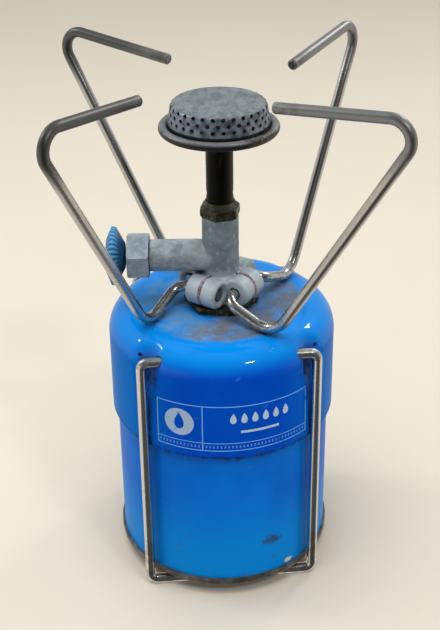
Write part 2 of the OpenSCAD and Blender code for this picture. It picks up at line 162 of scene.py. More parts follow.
class Paint(Nodes):
    """One material, with lengths in millimetres."""

    def __init__(self, name):
        self.material = bpy.data.materials.new(name)
        self.material.use_nodes = True
        super().__init__(self.material.node_tree)
        self.surface = self.tree.nodes["Principled BSDF"]
        self.place = self.vector("SCALE", self.coords.outputs["Object"], scale=1 / MM)
        self.x, self.y, self.z = self.xyz(self.place)

    def noise(self, size, detail=4.0, rough=0.55, stretch=(1, 1, 1), shift=0.0, turn=0):
        """Smooth noise from 0 to 1 with features about size mm across; stretch draws them out along an axis."""
        place = self.place
        if turn:
            rotate = self.tree.nodes.new("ShaderNodeVectorRotate")
            rotate.rotation_type = "Y_AXIS"
            rotate.inputs["Angle"].default_value = math.radians(turn)
            self.put(place, rotate.inputs["Vector"])
            place = rotate.outputs[0]
        node = self.tree.nodes.new("ShaderNodeTexNoise")
        scaled = self.vector("MULTIPLY", place, tuple(1 / (size * s) for s in stretch))
        self.put(self.vector("ADD", scaled, (shift, shift, shift)), node.inputs["Vector"])
        node.inputs["Scale"].default_value = 1
        node.inputs["Detail"].default_value = detail
        node.inputs["Roughness"].default_value = rough
        return node.outputs["Fac"]

    def azimuth(self):
        """Direction from the stove's axis in degrees, -90 at the print."""
        return self.math("MULTIPLY", self.math("ARCTAN2", self.y, self.x), 180 / math.pi)

    def radius(self):
        return self.length(self.x, self.y)

    def length(self, a, b):
        return self.math("SQRT", self.math("ADD", self.math("MULTIPLY", a, a), self.math("MULTIPLY", b, b)))

    def from_legs(self):
        """Distance from the nearest stirrup leg's line, seen from above."""
        away = [self.math("SUBTRACT", self.math("ABSOLUTE", c), LEG_XY) for c in (self.x, self.y)]
        return self.length(*away)

    def upward(self):
        """The upward part of the surface's own direction, 1 on a level top."""
        return self.xyz(self.coords.outputs["Normal"])[2]

    def hollow(self, reach, samples=6):
        """1 in the open and towards 0 in corners within reach mm."""
        node = self.tree.nodes.new("ShaderNodeAmbientOcclusion")
        node.samples = samples
        node.inputs["Distance"].default_value = reach * MM
        return node.outputs["AO"]

    def edges(self, width):
        """Towards 1 along sharp edges, within about width mm."""
        node = self.tree.nodes.new("ShaderNodeBevel")
        node.samples = 4
        node.inputs["Radius"].default_value = width * MM
        geometry = self.tree.nodes.new("ShaderNodeNewGeometry")
        along = self.vector("DOT_PRODUCT", node.outputs["Normal"], geometry.outputs["Normal"])
        return self.ramp(along, 0.995, 0.93)

    def bump(self, height, depth):
        """Raises the surface by depth mm where height is 1."""
        node = self.tree.nodes.new("ShaderNodeBump")
        node.inputs["Strength"].default_value = 1
        node.inputs["Distance"].default_value = depth * MM
        self.put(height, node.inputs["Height"])
        self.put(node.outputs["Normal"], self.surface.inputs["Normal"])

    def finish(self, **values):
        """Sets the surface's inputs: Base_Color stands for Base Color."""
        for name, value in values.items():
            self.put(value, self.surface.inputs[name.replace("_", " ")])
        return self.material


RUST = (0.17, 0.075, 0.035)
GRIME = (0.016, 0.014, 0.012)


def worn_blue(p, paint, shade):
    """Blue enamel or lacquer with slow changes of shade, small scratches and dark specks."""
    color = p.mix(p.ramp(p.noise(28, detail=2), 0.3, 0.7), shade, paint)
    scratch = p.noise(7, detail=3, rough=0.6, stretch=(1, 1, 0.1), shift=3.1, turn=35)
    color = p.mix(p.times(p.ramp(scratch, 0.685, 0.735), 0.45), color, (0.10, 0.33, 0.66))
    speck = p.noise(3.2, detail=5, rough=0.7, shift=5.7)
    return p.mix(p.times(p.ramp(speck, 0.68, 0.715), 0.8), color, GRIME)


# Print on the casing: a thin frame with two cells over a narrow strip, in degrees and millimetres
PRINT_LEFT, PRINT_DIVIDE, PRINT_RIGHT = -128.2, -104.8, -49.8
PRINT_LOW, PRINT_STRIP, PRINT_HIGH = 75.4, 78.9, 96.1
PRINT_LINE = 0.42
EMBLEM_R = 6.2
# The six drops: direction of the row's middle, height, spacing and length; then the bar under them
ROW_MIDDLE, ROW_Z, DROP_PITCH, DROP_TALL = -76.5, 90.2, 4.4, 4.8
BAR_LOW, BAR_HIGH, BAR_HALF = 83.6, 84.7, 8
TICK_LOW, TICK_HIGH, TICK_PITCH = 76.6, 77.8, 1.5


def drop(p, across, up, tall):
    """A flame-shaped drop: round at the foot and pointed at the top, centred on across = up = 0."""
    share = p.math("ADD", p.math("DIVIDE", up, tall), 0.42)
    share = p.math("MINIMUM", p.math("MAXIMUM", share, 0.0), 1.0)
    half = p.times(p.math("SQRT", share), p.math("SUBTRACT", 1.0, share), 0.72 * tall)
    inside = p.math("SUBTRACT", half, p.math("ABSOLUTE", across))
    return p.ramp(inside, 0.02, 0.12)


def casing_print(p):
    """Masks of a thin frame with ticks, and of a disc with a flame drop beside a row of drops."""
    degree = math.pi / 180 * CASING_R
    azimuth = p.azimuth()
    z = p.z
    half = PRINT_LINE / 2
    soft = 0.12

    def level(at, line=half):
        return p.times(p.band(z, at - line, at + line, soft), across_all)

    def upright(at, low):
        edge = half / degree
        stroke = p.band(azimuth, at - edge, at + edge, soft / degree)
        return p.times(stroke, p.band(z, low, PRINT_HIGH, soft))

    across_all = p.band(azimuth, PRINT_LEFT, PRINT_RIGHT, soft / degree)
    lines = [level(PRINT_HIGH), level(PRINT_LOW), level(PRINT_STRIP, half * 0.8)]
    lines += [upright(at, PRINT_LOW) for at in (PRINT_LEFT, PRINT_DIVIDE, PRINT_RIGHT)]

    # Left cell: a pale disc with a blue drop in it
    middle = (PRINT_LEFT + PRINT_DIVIDE) / 2
    u = p.math("MULTIPLY", p.math("SUBTRACT", azimuth, middle), degree)
    v = p.math("SUBTRACT", z, (PRINT_STRIP + PRINT_HIGH) / 2)
    disc = p.ramp(p.length(u, v), EMBLEM_R + 0.08, EMBLEM_R - 0.08)
    marks = [p.times(disc, p.math("SUBTRACT", 1.0, drop(p, u, v, 7.6)), 0.8)]

    # Right cell: a row of six drops over a short bar
    row = p.math("MULTIPLY", p.math("SUBTRACT", azimuth, ROW_MIDDLE), degree)
    cell = p.math("SUBTRACT", p.math("FRACT", p.math("DIVIDE", row, DROP_PITCH)), 0.5)
    in_row = p.band(row, -3 * DROP_PITCH, 3 * DROP_PITCH, soft)
    drops = drop(p, p.math("MULTIPLY", cell, DROP_PITCH), p.math("SUBTRACT", z, ROW_Z), DROP_TALL)
    marks.append(p.times(drops, in_row))
    marks.append(p.times(p.band(z, BAR_LOW, BAR_HIGH, soft), p.band(row, -BAR_HALF, BAR_HALF, soft)))

    # Narrow strip: a run of fine ticks
    tick = p.math("FRACT", p.math("DIVIDE", row, TICK_PITCH))
    in_strip = p.band(z, TICK_LOW, TICK_HIGH, soft)
    lines.append(p.times(p.band(tick, 0.3, 0.7, 0.1), in_strip, across_all, 0.55))

    outside = p.ramp(p.radius(), CASING_R - 1.5, CASING_R - 0.6)
    worn = p.ramp(p.noise(4, detail=4, rough=0.7, shift=1.3), 0.30, 0.42)
    masks = []
    for group in (lines, marks):
        mask = group[0]
        for mark in group[1:]:
            mask = p.math("MAXIMUM", mask, mark)
        masks.append(p.times(mask, outside, worn))
    return masks


def casing_enamel():
    """Glossy stove enamel; the level top is rubbed milky and grey and flecked with rust."""
    p = Paint("casing_enamel")
    z = p.z
    color = worn_blue(p, (0.0, 0.078, 0.55), (0.0, 0.062, 0.50))
    # Painted light: the enamel is lighter towards the sides, away from the print
    painted_side_light = p.ramp(p.math("ABSOLUTE", p.math("ADD", p.azimuth(), 90.0)), 20, 62)
    color = p.mix(p.times(painted_side_light, 0.85), color, (0.0, 0.165, 0.58))
    # Painted light: lighter and more cyan where the shoulder and top face up
    color = p.mix(p.ramp(p.upward(), 0.16, 0.80), color, (0.0, 0.20, 0.62))
    lines, marks = casing_print(p)
    color = p.mix(p.times(lines, 0.9), color, (0.17, 0.44, 0.82))
    color = p.mix(marks, color, (0.42, 0.56, 0.66))
    level = p.times(p.ramp(p.upward(), 0.80, 0.97), p.ramp(z, CASING_Z - 2.5, CASING_Z - 0.6))
    ragged = p.math("ADD", p.radius(), p.times(p.noise(9, detail=3, shift=1.7), 6))
    top = p.times(level, p.ramp(ragged, CASING_R - 9, CASING_R - 12.5))
    cloud = p.noise(11, detail=5, rough=0.62, shift=2.2)
    dust = p.times(top, p.ramp(cloud, 0.34, 0.60))
    color = p.mix(p.times(dust, 0.62), color, (0.14, 0.25, 0.32))
    # Worn down to a brown grey towards the front edge and on the right
    towards = p.math("SUBTRACT", p.math("MULTIPLY", p.x, 0.8), p.y)
    edge = p.ramp(p.math("ADD", towards, p.times(p.noise(16, detail=2, shift=7.3), 40)), 22, 46)
    brown = p.noise(6, detail=6, rough=0.7, shift=9.6)
    color = p.mix(p.times(top, edge, p.ramp(brown, 0.31, 0.57), 0.85), color, (0.13, 0.12, 0.11))
    fleck = p.noise(2.4, detail=5, rough=0.75, shift=4.4)
    color = p.mix(p.times(top, edge, p.ramp(fleck, 0.575, 0.64), 0.85), color, RUST)
    pale = p.noise(1.8, detail=4, rough=0.7, shift=6.2)
    color = p.mix(p.times(top, p.ramp(pale, 0.65, 0.72), 0.5), color, (0.42, 0.50, 0.55))
    # A dark line along the lower edge, with smudges over it
    line = p.ramp(p.noise(3, detail=4, rough=0.7), 0.42, 0.56)
    line = p.times(p.ramp(z, SKIRT_Z + 1.6, SKIRT_Z + 0.2), line)
    smudge = p.ramp(p.noise(5, detail=5, rough=0.7, shift=3.9), 0.58, 0.72)
    smudge = p.times(p.ramp(z, SKIRT_Z + 7, SKIRT_Z + 1), smudge)
    color = p.mix(p.math("MAXIMUM", p.times(line, 0.85), p.times(smudge, 0.6)), color, GRIME)
    # Painted shade, with grease and dirt, darkens the flutes beside the wires and the casing's hollows
    beside = p.times(p.ramp(p.from_legs(), 6.6, 5.2), p.band(z, PIVOT_Z - 11, PIVOT_Z + 2.5, 4))
    beside = p.times(beside, p.ramp(p.noise(7, detail=2, shift=8.8), 0.22, 0.50))
    grime = p.times(p.ramp(p.hollow(5), 0.75, 0.25), p.ramp(p.noise(2.5), 0.25, 0.6))
    grime = p.math("MAXIMUM", grime, beside)
    color = p.mix(p.times(grime, 0.85), color, GRIME)
    dull = p.math("MAXIMUM", dust, grime)
    wave = p.math("ADD", p.noise(14, detail=2), p.times(fleck, top, 0.10))
    p.bump(wave, 0.10)
    # Only the shoulder and the flutes above the hooks keep their full gloss
    gloss = p.times(p.ramp(p.upward(), 0.02, 0.35), p.math("SUBTRACT", 1.0, dull), 0.5)
    return p.finish(Base_Color=color, Roughness=p.blend(dull, 0.28, 0.65), Coat_Weight=gloss,
                    Coat_Roughness=0.04, Specular_IOR_Level=p.blend(dull, 0.015, 0.02))


def cartridge_paint():
    """Satin lacquer on tinplate, flatter than the casing, with smears near the foot."""
    p = Paint("cartridge_paint")
    z = p.z
    color = worn_blue(p, (0.0, 0.165, 0.68), (0.0, 0.125, 0.60))
    # Painted light: the lacquer is lighter and greener towards the foot
    color = p.mix(p.ramp(z, CARTRIDGE_Z + 45, CARTRIDGE_Z + 8), color, (0.0, 0.23, 0.70))
    smear = p.noise(6, detail=4, rough=0.62, stretch=(1, 1, 0.5), shift=7.7)
    near_foot = p.ramp(z, CARTRIDGE_Z + 34, CARTRIDGE_Z + 8)
    color = p.mix(p.times(p.ramp(smear, 0.62, 0.72), near_foot, 0.6), color, (0.05, 0.07, 0.10))
    # One dark stain low on the right, and one white chip at the foot
    stain = p.length(p.math("DIVIDE", p.math("SUBTRACT", p.azimuth(), -68.0), 9.0),
                     p.math("DIVIDE", p.math("SUBTRACT", z, 25.0), 3.2))
    ragged = p.math("ADD", stain, p.times(p.noise(3, detail=4, rough=0.7, shift=2.9), 1.6))
    color = p.mix(p.times(p.ramp(ragged, 1.7, 1.1), 0.75), color, (0.03, 0.04, 0.06))
    white = p.length(p.math("DIVIDE", p.math("SUBTRACT", p.azimuth(), -58.0), 3.2),
                     p.math("DIVIDE", p.math("SUBTRACT", z, CARTRIDGE_Z + 2.5), 1.4))
    ragged = p.math("ADD", white, p.times(p.noise(1.2, detail=3, shift=5.1), 1.2))
    color = p.mix(p.ramp(ragged, 1.5, 1.3), color, (0.60, 0.58, 0.50))
    chip = p.noise(2.6, detail=5, rough=0.75, shift=1.9)
    low_edge = p.ramp(z, CARTRIDGE_Z + 3.5, CARTRIDGE_Z + 0.6)
    color = p.mix(p.times(p.ramp(chip, 0.60, 0.65), low_edge, 0.8), color, (0.30, 0.29, 0.27))
    line = p.ramp(z, SKIRT_Z - 5, SKIRT_Z - 0.3)
    dirt = p.ramp(p.noise(3.4, detail=5, rough=0.72, shift=6.1), 0.40, 0.62)
    color = p.mix(p.times(line, dirt, 0.8), color, GRIME)
    # Painted shadow and dark reflection of the stirrup legs, in stripes beside them
    beside = p.ramp(p.from_legs(), 7.0, 4.4)
    color = p.mix(p.times(beside, 0.32), color, (0.0, 0.03, 0.12))
    p.bump(p.noise(20, detail=2), 0.12)
    return p.finish(Base_Color=color, Roughness=p.blend(p.noise(9), 0.28, 0.42), Specular_IOR_Level=0.045)


def seam_steel():
    """Rolled tinplate seam, dull with grime and rust."""
    p = Paint("seam_steel")
    grime = p.ramp(p.noise(5, detail=5, rough=0.65), 0.35, 0.65)
    color = p.mix(grime, (0.20, 0.185, 0.16), (0.085, 0.072, 0.060))
    rust = p.ramp(p.noise(2.2, detail=4, rough=0.7, shift=4), 0.56, 0.64)
    color = p.mix(rust, color, (0.10, 0.055, 0.03))
    p.bump(p.noise(0.8, detail=3), 0.06)
    return p.finish(Base_Color=color, Metallic=0.6, Roughness=0.5)


def chrome_wire():
    """Bright plated stirrup wire; the hooks that rub in the casing are dull."""
    p = Paint("chrome_wire")
    z = p.z
    hook = p.ramp(z, PIVOT_Z - 3.2, PIVOT_Z - 1.2)
    pit = p.ramp(p.noise(1.3, detail=4, rough=0.7), 0.60, 0.68)
    color = p.mix(p.times(pit, 0.6), (0.80, 0.79, 0.77), (0.24, 0.20, 0.16))
    color = p.mix(p.times(hook, p.ramp(p.noise(2.0), 0.3, 0.6), 0.8), color, (0.42, 0.43, 0.43))
    low = p.ramp(z, 34, 12)
    color = p.mix(p.times(low, p.ramp(p.noise(4, detail=4), 0.35, 0.6), 0.6), color, (0.38, 0.33, 0.27))
    p.bump(p.noise(0.9, detail=3), 0.02)
    rough = p.blend(p.math("MAXIMUM", hook, p.times(pit, 0.7)), 0.12, 0.34)
    return p.finish(Base_Color=color, Metallic=1.0, Roughness=rough)


def pan_wire():
    """Plated pan support wire: mottled by corrosion at the hub and burnt dull where the pan stands."""
    p = Paint("pan_wire")
    z = p.z
    burnt = p.ramp(z, CAP_TOP - 14, CAP_TOP + 2)
    inner = p.times(burnt, p.ramp(p.radius(), 52, 34))
    hub = p.ramp(z, HUB_Z + 6, HUB_Z - 6)
    mottle = p.ramp(p.noise(1.6, detail=5, rough=0.7), 0.42, 0.60)
    color = p.mix(p.times(mottle, p.blend(hub, 0.10, 0.6)), (0.60, 0.59, 0.56), (0.19, 0.165, 0.125))
    color = p.mix(p.times(burnt, 0.75), color, (0.22, 0.225, 0.22))
    soot = p.ramp(p.noise(4, detail=4, rough=0.6, shift=2.5), 0.30, 0.62)
    color = p.mix(p.times(inner, soot, 0.8), color, (0.05, 0.048, 0.042))
    # The supports on the knob's side have stood in the flame more
    color = p.mix(p.times(burnt, p.ramp(p.x, -12, -38), 0.72), color, (0.075, 0.076, 0.070))
    p.bump(p.noise(0.8, detail=4), 0.035)
    rough = p.blend(burnt, p.blend(p.times(mottle, hub), 0.20, 0.42), 0.45)
    return p.finish(Base_Color=color, Metallic=p.blend(inner, 1.0, 0.7), Roughness=rough)


def zinc(name, light, dark, column_shade, lift):
    """Dull die-cast zinc with pale bloom, dark blotches and painted shade, with grime, in its corners."""
    p = Paint(name)
    z = p.z
    blotch = p.noise(5.5, detail=5, rough=0.65)
    color = p.mix(p.ramp(blotch, 0.32, 0.66), dark, light)
    green = p.noise(8, detail=3, shift=6.6)
    color = p.mix(p.times(p.ramp(green, 0.5, 0.7), 0.5), color, (0.27, 0.31, 0.28))
    column = p.times(p.ramp(p.radius(), 8.4, 7.2), p.ramp(z, HUB_Z + 5, HUB_Z + 9))
    color = p.mix(p.times(column, column_shade), color, (0.085, 0.125, 0.155))
    hub = p.ramp(z, HUB_Z + 9, HUB_Z + 4)
    color = p.mix(p.times(hub, lift), color, (0.58, 0.66, 0.69))
    bloom = p.noise(2.2, detail=5, rough=0.7, shift=3.3)
    color = p.mix(p.times(p.ramp(bloom, 0.50, 0.70), 0.45), color, (0.50, 0.55, 0.55))
    # Painted shade, with grime, in the corners
    grime = p.ramp(p.hollow(2.5), 0.70, 0.25)
    color = p.mix(p.times(grime, 0.85), color, (0.03, 0.032, 0.034))
    p.bump(p.math("ADD", p.noise(0.9, detail=4, rough=0.6), p.times(blotch, 1.5)), 0.10)
    return p.finish(Base_Color=color, Metallic=0.35, Roughness=p.blend(bloom, 0.42, 0.66))


def zinc_casting():
    return zinc("zinc_casting", (0.36, 0.42, 0.44), (0.19, 0.235, 0.265), 0.6, 0.5)


def zinc_nut():
    return zinc("zinc_nut", (0.32, 0.38, 0.44), (0.19, 0.24, 0.29), 0.0, 0.0)


def old_brass(name, clean, dirt, dirty):
    """Brass under grime, with painted light where it faces up and a painted highlight along its edges."""
    p = Paint(name)
    cover = p.ramp(p.noise(3.5, detail=5, rough=0.65), 0.62 - dirty, 0.80 - dirty)
    color = p.mix(cover, clean, dirt)
    # Painted light where the brass faces up
    color = p.mix(p.times(p.ramp(p.upward(), 0.25, 0.55), 0.7), color, tuple(0.7 * c + 0.03 for c in clean))
    # Painted highlight along the edges
    color = p.mix(p.times(p.edges(0.35), 0.6), color, tuple(1.5 * c for c in clean))
    p.bump(p.noise(0.9, detail=4, rough=0.6), 0.07)
    return p.finish(Base_Color=color, Metallic=0.8, Roughness=p.blend(cover, 0.34, 0.58))


def brass():
    return old_brass("brass", (0.20, 0.155, 0.075), (0.045, 0.036, 0.022), 0.25)


def dark_brass():
    return old_brass("dark_brass", (0.10, 0.095, 0.065), (0.030, 0.028, 0.020), 0.2)


def needle_steel():
    p = Paint("needle_steel")
    color = p.mix(p.noise(0.8, detail=3), (0.55, 0.55, 0.56), (0.40, 0.40, 0.41))
    p.bump(p.noise(0.5, stretch=(1, 1, 0.1)), 0.01)
    return p.finish(Base_Color=color, Metallic=1.0, Roughness=0.25)


def burnt_steel():
    """Tube steel burnt near black, brown on the side away from the valve."""
    p = Paint("burnt_steel")
    x = p.x
    brown = p.times(p.ramp(x, 2.5, 5.2), p.ramp(p.noise(5, detail=3), 0.25, 0.6))
    color = p.mix(brown, (0.005, 0.005, 0.0045), (0.045, 0.022, 0.010))
    streak = p.noise(1.6, detail=3, stretch=(1, 1, 9), shift=2.8)
    color = p.mix(p.times(p.ramp(streak, 0.58, 0.68), 0.4), color, (0.040, 0.040, 0.036))
    p.bump(p.noise(0.7, detail=4, rough=0.6), 0.04)
    return p.finish(Base_Color=color, Metallic=0.5, Roughness=p.blend(streak, 0.30, 0.50),
                    Specular_IOR_Level=0.15)


def sooty_steel():
    """Burner head: grey dust on its crown, blue-black side, painted shade with soot inside and in the groove at
    the foot, and a rolled rim painted near black as shade with a painted highlight along its top.
    """
    p = Paint("sooty_steel")
    z = p.z
    radius = p.radius()
    up = p.upward()
    tone = p.noise(3.0, detail=5, rough=0.68)
    color = p.mix(p.ramp(tone, 0.36, 0.62), (0.070, 0.082, 0.100), (0.235, 0.270, 0.320))
    grain = p.noise(0.8, detail=4, rough=0.75, shift=1.4)
    color = p.mix(p.times(p.ramp(grain, 0.62, 0.70), 0.55), color, (0.36, 0.38, 0.42))
    lean = math.tan(math.radians(CAP_LEAN))
    wall = p.math("SUBTRACT", CAP_R + lean * (CAP_Z + CAP_STEP), p.math("MULTIPLY", z, lean))
    inside = p.ramp(p.math("SUBTRACT", radius, wall), -0.25, -0.5)
    crown = p.times(p.ramp(up, 0.62, 0.95), p.ramp(z, CAP_TOP - 1.6, CAP_TOP - 1.0))
    streaks = p.noise(6, detail=4, rough=0.6, stretch=(0.5, 1, 1), shift=5.5)
    dust = p.mix(p.ramp(streaks, 0.32, 0.66), (0.080, 0.100, 0.103), (0.142, 0.165, 0.172))
    speck = p.noise(0.9, detail=4, rough=0.7)
    dust = p.mix(p.times(p.ramp(speck, 0.58, 0.68), 0.5), dust, (0.27, 0.30, 0.29))
    color = p.mix(crown, color, dust)
    # Painted shade, with soot, near black inside the cap and in the groove at its foot
    groove = p.band(z, CAP_Z - 1, CAP_Z + CAP_STEP + 0.1, 0.5)
    groove = p.times(groove, p.ramp(radius, CAP_R + 0.8, CAP_R + 0.3))
    shade_and_soot = p.math("MAXIMUM", groove, p.times(inside, p.ramp(up, 0.5, 0.3)))
    color = p.mix(shade_and_soot, color, (0.006, 0.006, 0.007))
    # Painted shade: the rolled rim is near black
    rim = p.ramp(radius, CAP_R + 0.1, CAP_R + 0.6)
    color = p.mix(rim, color, (0.022, 0.021, 0.020))
    # Painted highlight along the rim's upward face
    lip = p.times(rim, p.ramp(up, 0.15, 0.75))
    color = p.mix(p.times(lip, p.ramp(tone, 0.25, 0.50)), color, (0.185, 0.190, 0.200))
    azimuth = p.azimuth()
    patch = p.ramp(p.noise(2.6, detail=5, rough=0.7, shift=8.1), 0.36, 0.50)
    burnt = p.times(rim, p.band(azimuth, -66, -26, 14), patch)
    color = p.mix(p.times(burnt, 0.85), color, (0.040, 0.026, 0.018))
    crumbs = p.times(p.band(azimuth, -60, -20, 12), p.ramp(grain, 0.56, 0.63))
    crumbs = p.times(crumbs, p.ramp(radius, CAP_R - 2, CAP_R))
    color = p.mix(p.times(crumbs, 0.6), color, (0.42, 0.42, 0.36))
    p.bump(p.math("ADD", tone, p.times(speck, 0.6)), 0.10)
    metal = p.blend(p.math("MAXIMUM", crown, shade_and_soot), 0.6, 0.05)
    return p.finish(Base_Color=color, Metallic=metal, Roughness=p.blend(crown, 0.42, 0.72))


def black_rubber():
    p = Paint("black_rubber")
    color = p.mix(p.noise(2, detail=3), (0.02, 0.02, 0.02), (0.045, 0.043, 0.04))
    p.bump(p.noise(0.4), 0.03)
    return p.finish(Base_Color=color, Roughness=0.75)


def felt():
    p = Paint("felt")
    fibre = p.noise(0.3, detail=3, stretch=(4, 4, 1))
    color = p.mix(fibre, (0.40, 0.37, 0.30), (0.60, 0.57, 0.50))
    p.bump(fibre, 0.08)
    return p.finish(Base_Color=color, Roughness=0.95, Sheen_Weight=0.4)


def red_fibre():
    p = Paint("red_fibre")
    fade = p.noise(2.2, detail=4, rough=0.6)
    color = p.mix(p.ramp(fade, 0.35, 0.65), (0.10, 0.022, 0.045), (0.33, 0.15, 0.18))
    color = p.mix(p.ramp(p.noise(3, detail=4, rough=0.6, shift=4.7), 0.50, 0.62), color, (0.24, 0.25, 0.26))
    p.bump(p.noise(0.35, detail=2), 0.03)
    return p.finish(Base_Color=color, Roughness=0.75)


def blue_plastic():
    """Moulded knob: ridges paler, darker between them and on the back."""
    p = Paint("blue_plastic")
    side = VALVE_AXIS.cross(Vector((0, 0, 1)))
    offset = p.vector("SUBTRACT", p.place, (0, 0, VALVE_Z))
    out = p.vector("LENGTH", p.vector("CROSS_PRODUCT", offset, tuple(VALVE_AXIS)))
    across = p.vector("DOT_PRODUCT", offset, tuple(side))
    up = p.xyz(offset)[2]
    along = p.vector("DOT_PRODUCT", offset, tuple(VALVE_AXIS))
    ridge = p.math("COSINE", p.times(p.math("ARCTAN2", up, across), 36.0))
    on_ridge = p.times(p.ramp(ridge, 0.2, -0.6), p.ramp(out, 7.6, 8.6))
    fade = p.ramp(p.noise(4, detail=4, rough=0.6), 0.3, 0.7)
    face = p.mix(fade, (0.010, 0.115, 0.300), (0.025, 0.185, 0.410))
    color = p.mix(p.times(on_ridge, 0.6), face, (0.12, 0.33, 0.53))
    groove = p.times(p.ramp(ridge, 0.5, 0.95), p.ramp(out, 7.6, 8.6))
    color = p.mix(p.times(groove, 0.8), color, (0.015, 0.045, 0.095))
    near_arm = -span("control_knob", 0)[1]
    back = p.ramp(along, near_arm + 4.0, near_arm + 2.5)
    color = p.mix(p.times(back, 0.75), color, (0.012, 0.035, 0.075))
    p.bump(p.noise(0.7, detail=3), 0.04)
    return p.finish(Base_Color=color, Roughness=p.blend(p.noise(3), 0.38, 0.58), Specular_IOR_Level=0.22)


SLOTS = {m.__name__: m for m in (
    casing_enamel, cartridge_paint, seam_steel, chrome_wire, pan_wire, zinc_casting, zinc_nut, brass,
    dark_brass, needle_steel, burnt_steel, sooty_steel, black_rubber, felt, red_fibre, blue_plastic)}
MATERIALS = {slot: make() for slot, make in SLOTS.items()}


def dress(obj, slot):
    """Gives a piece the material of one of the record's slots."""
    obj.data.materials.clear()
    obj.data.materials.append(MATERIALS[slot])


for part in frame["record"]["subparts"]:
    dress(frame["nodes"][part["node"]], part["material_slot"])


# ---- Pressed casing ----

def new_piece(name, vertices, faces, slot, body):
    """A new mesh that rides on a CAD body and wears one of the record's slots."""
    mesh = bpy.data.meshes.new(name)
    mesh.from_pydata([tuple(v) for v in np.asarray(vertices) * MM], [], faces)
    mesh.update()
    obj = bpy.data.objects.new(name, mesh)
    bpy.context.scene.collection.objects.link(obj)
    dress(obj, slot)
    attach(obj, body)
    return obj


def smooth(obj, angle=35):
    """Smooth shading, with edges sharper than angle degrees kept."""
    obj.data.shade_smooth()
    obj.data.set_sharp_from_angle(angle=math.radians(angle))


# Shape of the pressing, in millimetres and degrees; its flutes are narrower and softer than the part's own
SHEET = 0.9
SHOULDER_R = 11
FLUTE_R = 6
FLUTE_DEPTH = 3.3
FLUTE_LEAN = 11
FLUTE_BLEND = 3.6
HOLE_R = 10.1


def casing_outline():
    """Points and outward directions up the casing's wall, over its shoulder and in to the bush's hole."""
    rows = []
    for z in np.linspace(SKIRT_Z, CASING_Z - SHOULDER_R, 64, endpoint=False):
        rows.append((CASING_R, z, 1.0, 0.0))
    for a in np.radians(np.linspace(0, 90, 28)):
        rows.append((CASING_R - SHOULDER_R * (1 - math.cos(a)), CASING_Z - SHOULDER_R * (1 - math.sin(a)),
                     math.cos(a), math.sin(a)))
    for r in np.linspace(CASING_R - SHOULDER_R, HOLE_R, 20)[1:]:
        rows.append((r, CASING_Z, 0.0, 1.0))
    return np.array(rows)


def flute_distance(points):
    """Distance of each point outside the nearest of the four leaning flute tools."""
    lean = math.radians(FLUTE_LEAN)
    nearest = np.full(points.shape[:-1], 1e9)
    for turn in np.radians((45, 135, 225, 315)):
        outward = np.array([math.cos(turn), math.sin(turn), 0])
        foot = outward * (CASING_R - FLUTE_DEPTH + FLUTE_R) + np.array([0, 0, PIVOT_Z])
        axis = -outward * math.sin(lean) + np.array([0, 0, math.cos(lean)])
        rel = points - foot
        rel = rel - (rel @ axis)[..., None] * axis
        nearest = np.minimum(nearest, np.linalg.norm(rel, axis=-1) - FLUTE_R)
    return nearest


def pressed_surface(turns=576):
    """The casing's outside as a grid of points, pushed in smoothly where the flutes are."""
    rows = casing_outline()
    theta = np.linspace(0, 2 * math.pi, turns, endpoint=False)
    around = np.stack([np.cos(theta), np.sin(theta)], 1)
    flat = np.zeros((len(rows), turns, 3))
    normal = np.zeros_like(flat)
    flat[..., :2] = rows[:, None, 0, None] * around
    flat[..., 2] = rows[:, None, 1]
    normal[..., :2] = rows[:, None, 2, None] * around
    normal[..., 2] = rows[:, None, 3]
    low = np.zeros(flat.shape[:2])
    high = np.full(flat.shape[:2], 8.0)
    for _ in range(26):
        depth = (low + high) / 2
        outside = -flute_distance(flat - depth[..., None] * normal)
        gap = np.maximum(FLUTE_BLEND - np.abs(outside + depth), 0) / FLUTE_BLEND
        level = np.maximum(outside, -depth) + gap * gap * FLUTE_BLEND / 4
        low = np.where(level > 0, depth, low)
        high = np.where(level > 0, high, depth)
    return flat - low[..., None] * normal


def grid_normals(grid):
    """Outward unit directions of a grid that wraps round in its second index."""
    around = np.roll(grid, -1, 1) - np.roll(grid, 1, 1)
    along = np.gradient(grid, axis=0)
    normal = np.cross(around, along)
    return normal / np.linalg.norm(normal, axis=-1, keepdims=True)


def ring_faces(rows, turns, close=False):
    """Quads over a grid of rings; close joins the last ring to the first."""
    faces = []
    for i in range(rows if close else rows - 1):
        j = (i + 1) % rows
        for k in range(turns):
            m = (k + 1) % turns
            faces.append((i * turns + k, i * turns + m, j * turns + m, j * turns + k))
    return faces


def drill(center, axis, radius, length):
    """A 20-sided rod along X (axis 0) or Y (axis 1), from its middle, as points and faces."""
    turns = [2 * math.pi * k / 20 for k in range(20)]
    points = []
    for end in (-length / 2, length / 2):
        for a in turns:
            offset = [end, radius * math.cos(a), radius * math.sin(a)]
            if axis == 1:
                offset[:2] = -offset[1], offset[0]
            points.append(tuple(c + o for c, o in zip(center, offset)))
    count = len(turns)
    faces = [tuple(range(count - 1, -1, -1)), tuple(range(count, 2 * count))]
    faces += [(k, (k + 1) % count, count + (k + 1) % count, count + k) for k in range(count)]
    return points, faces


def cut(obj, points, faces):
    """Cuts a closed shape out of a piece, for good."""
    mesh = bpy.data.meshes.new("cutter")
    mesh.from_pydata([tuple(c * MM for c in p) for p in points], [], faces)
    cutter = bpy.data.objects.new("cutter", mesh)
    bpy.context.scene.collection.objects.link(cutter)
    modifier = obj.modifiers.new("cut", "BOOLEAN")
    modifier.object = cutter
    modifier.solver = "EXACT"
    bpy.context.view_layer.update()
    depsgraph = bpy.context.evaluated_depsgraph_get()
    result = bpy.data.meshes.new_from_object(obj.evaluated_get(depsgraph))
    obj.modifiers.clear()
    obj.data = result
    bpy.data.objects.remove(cutter)


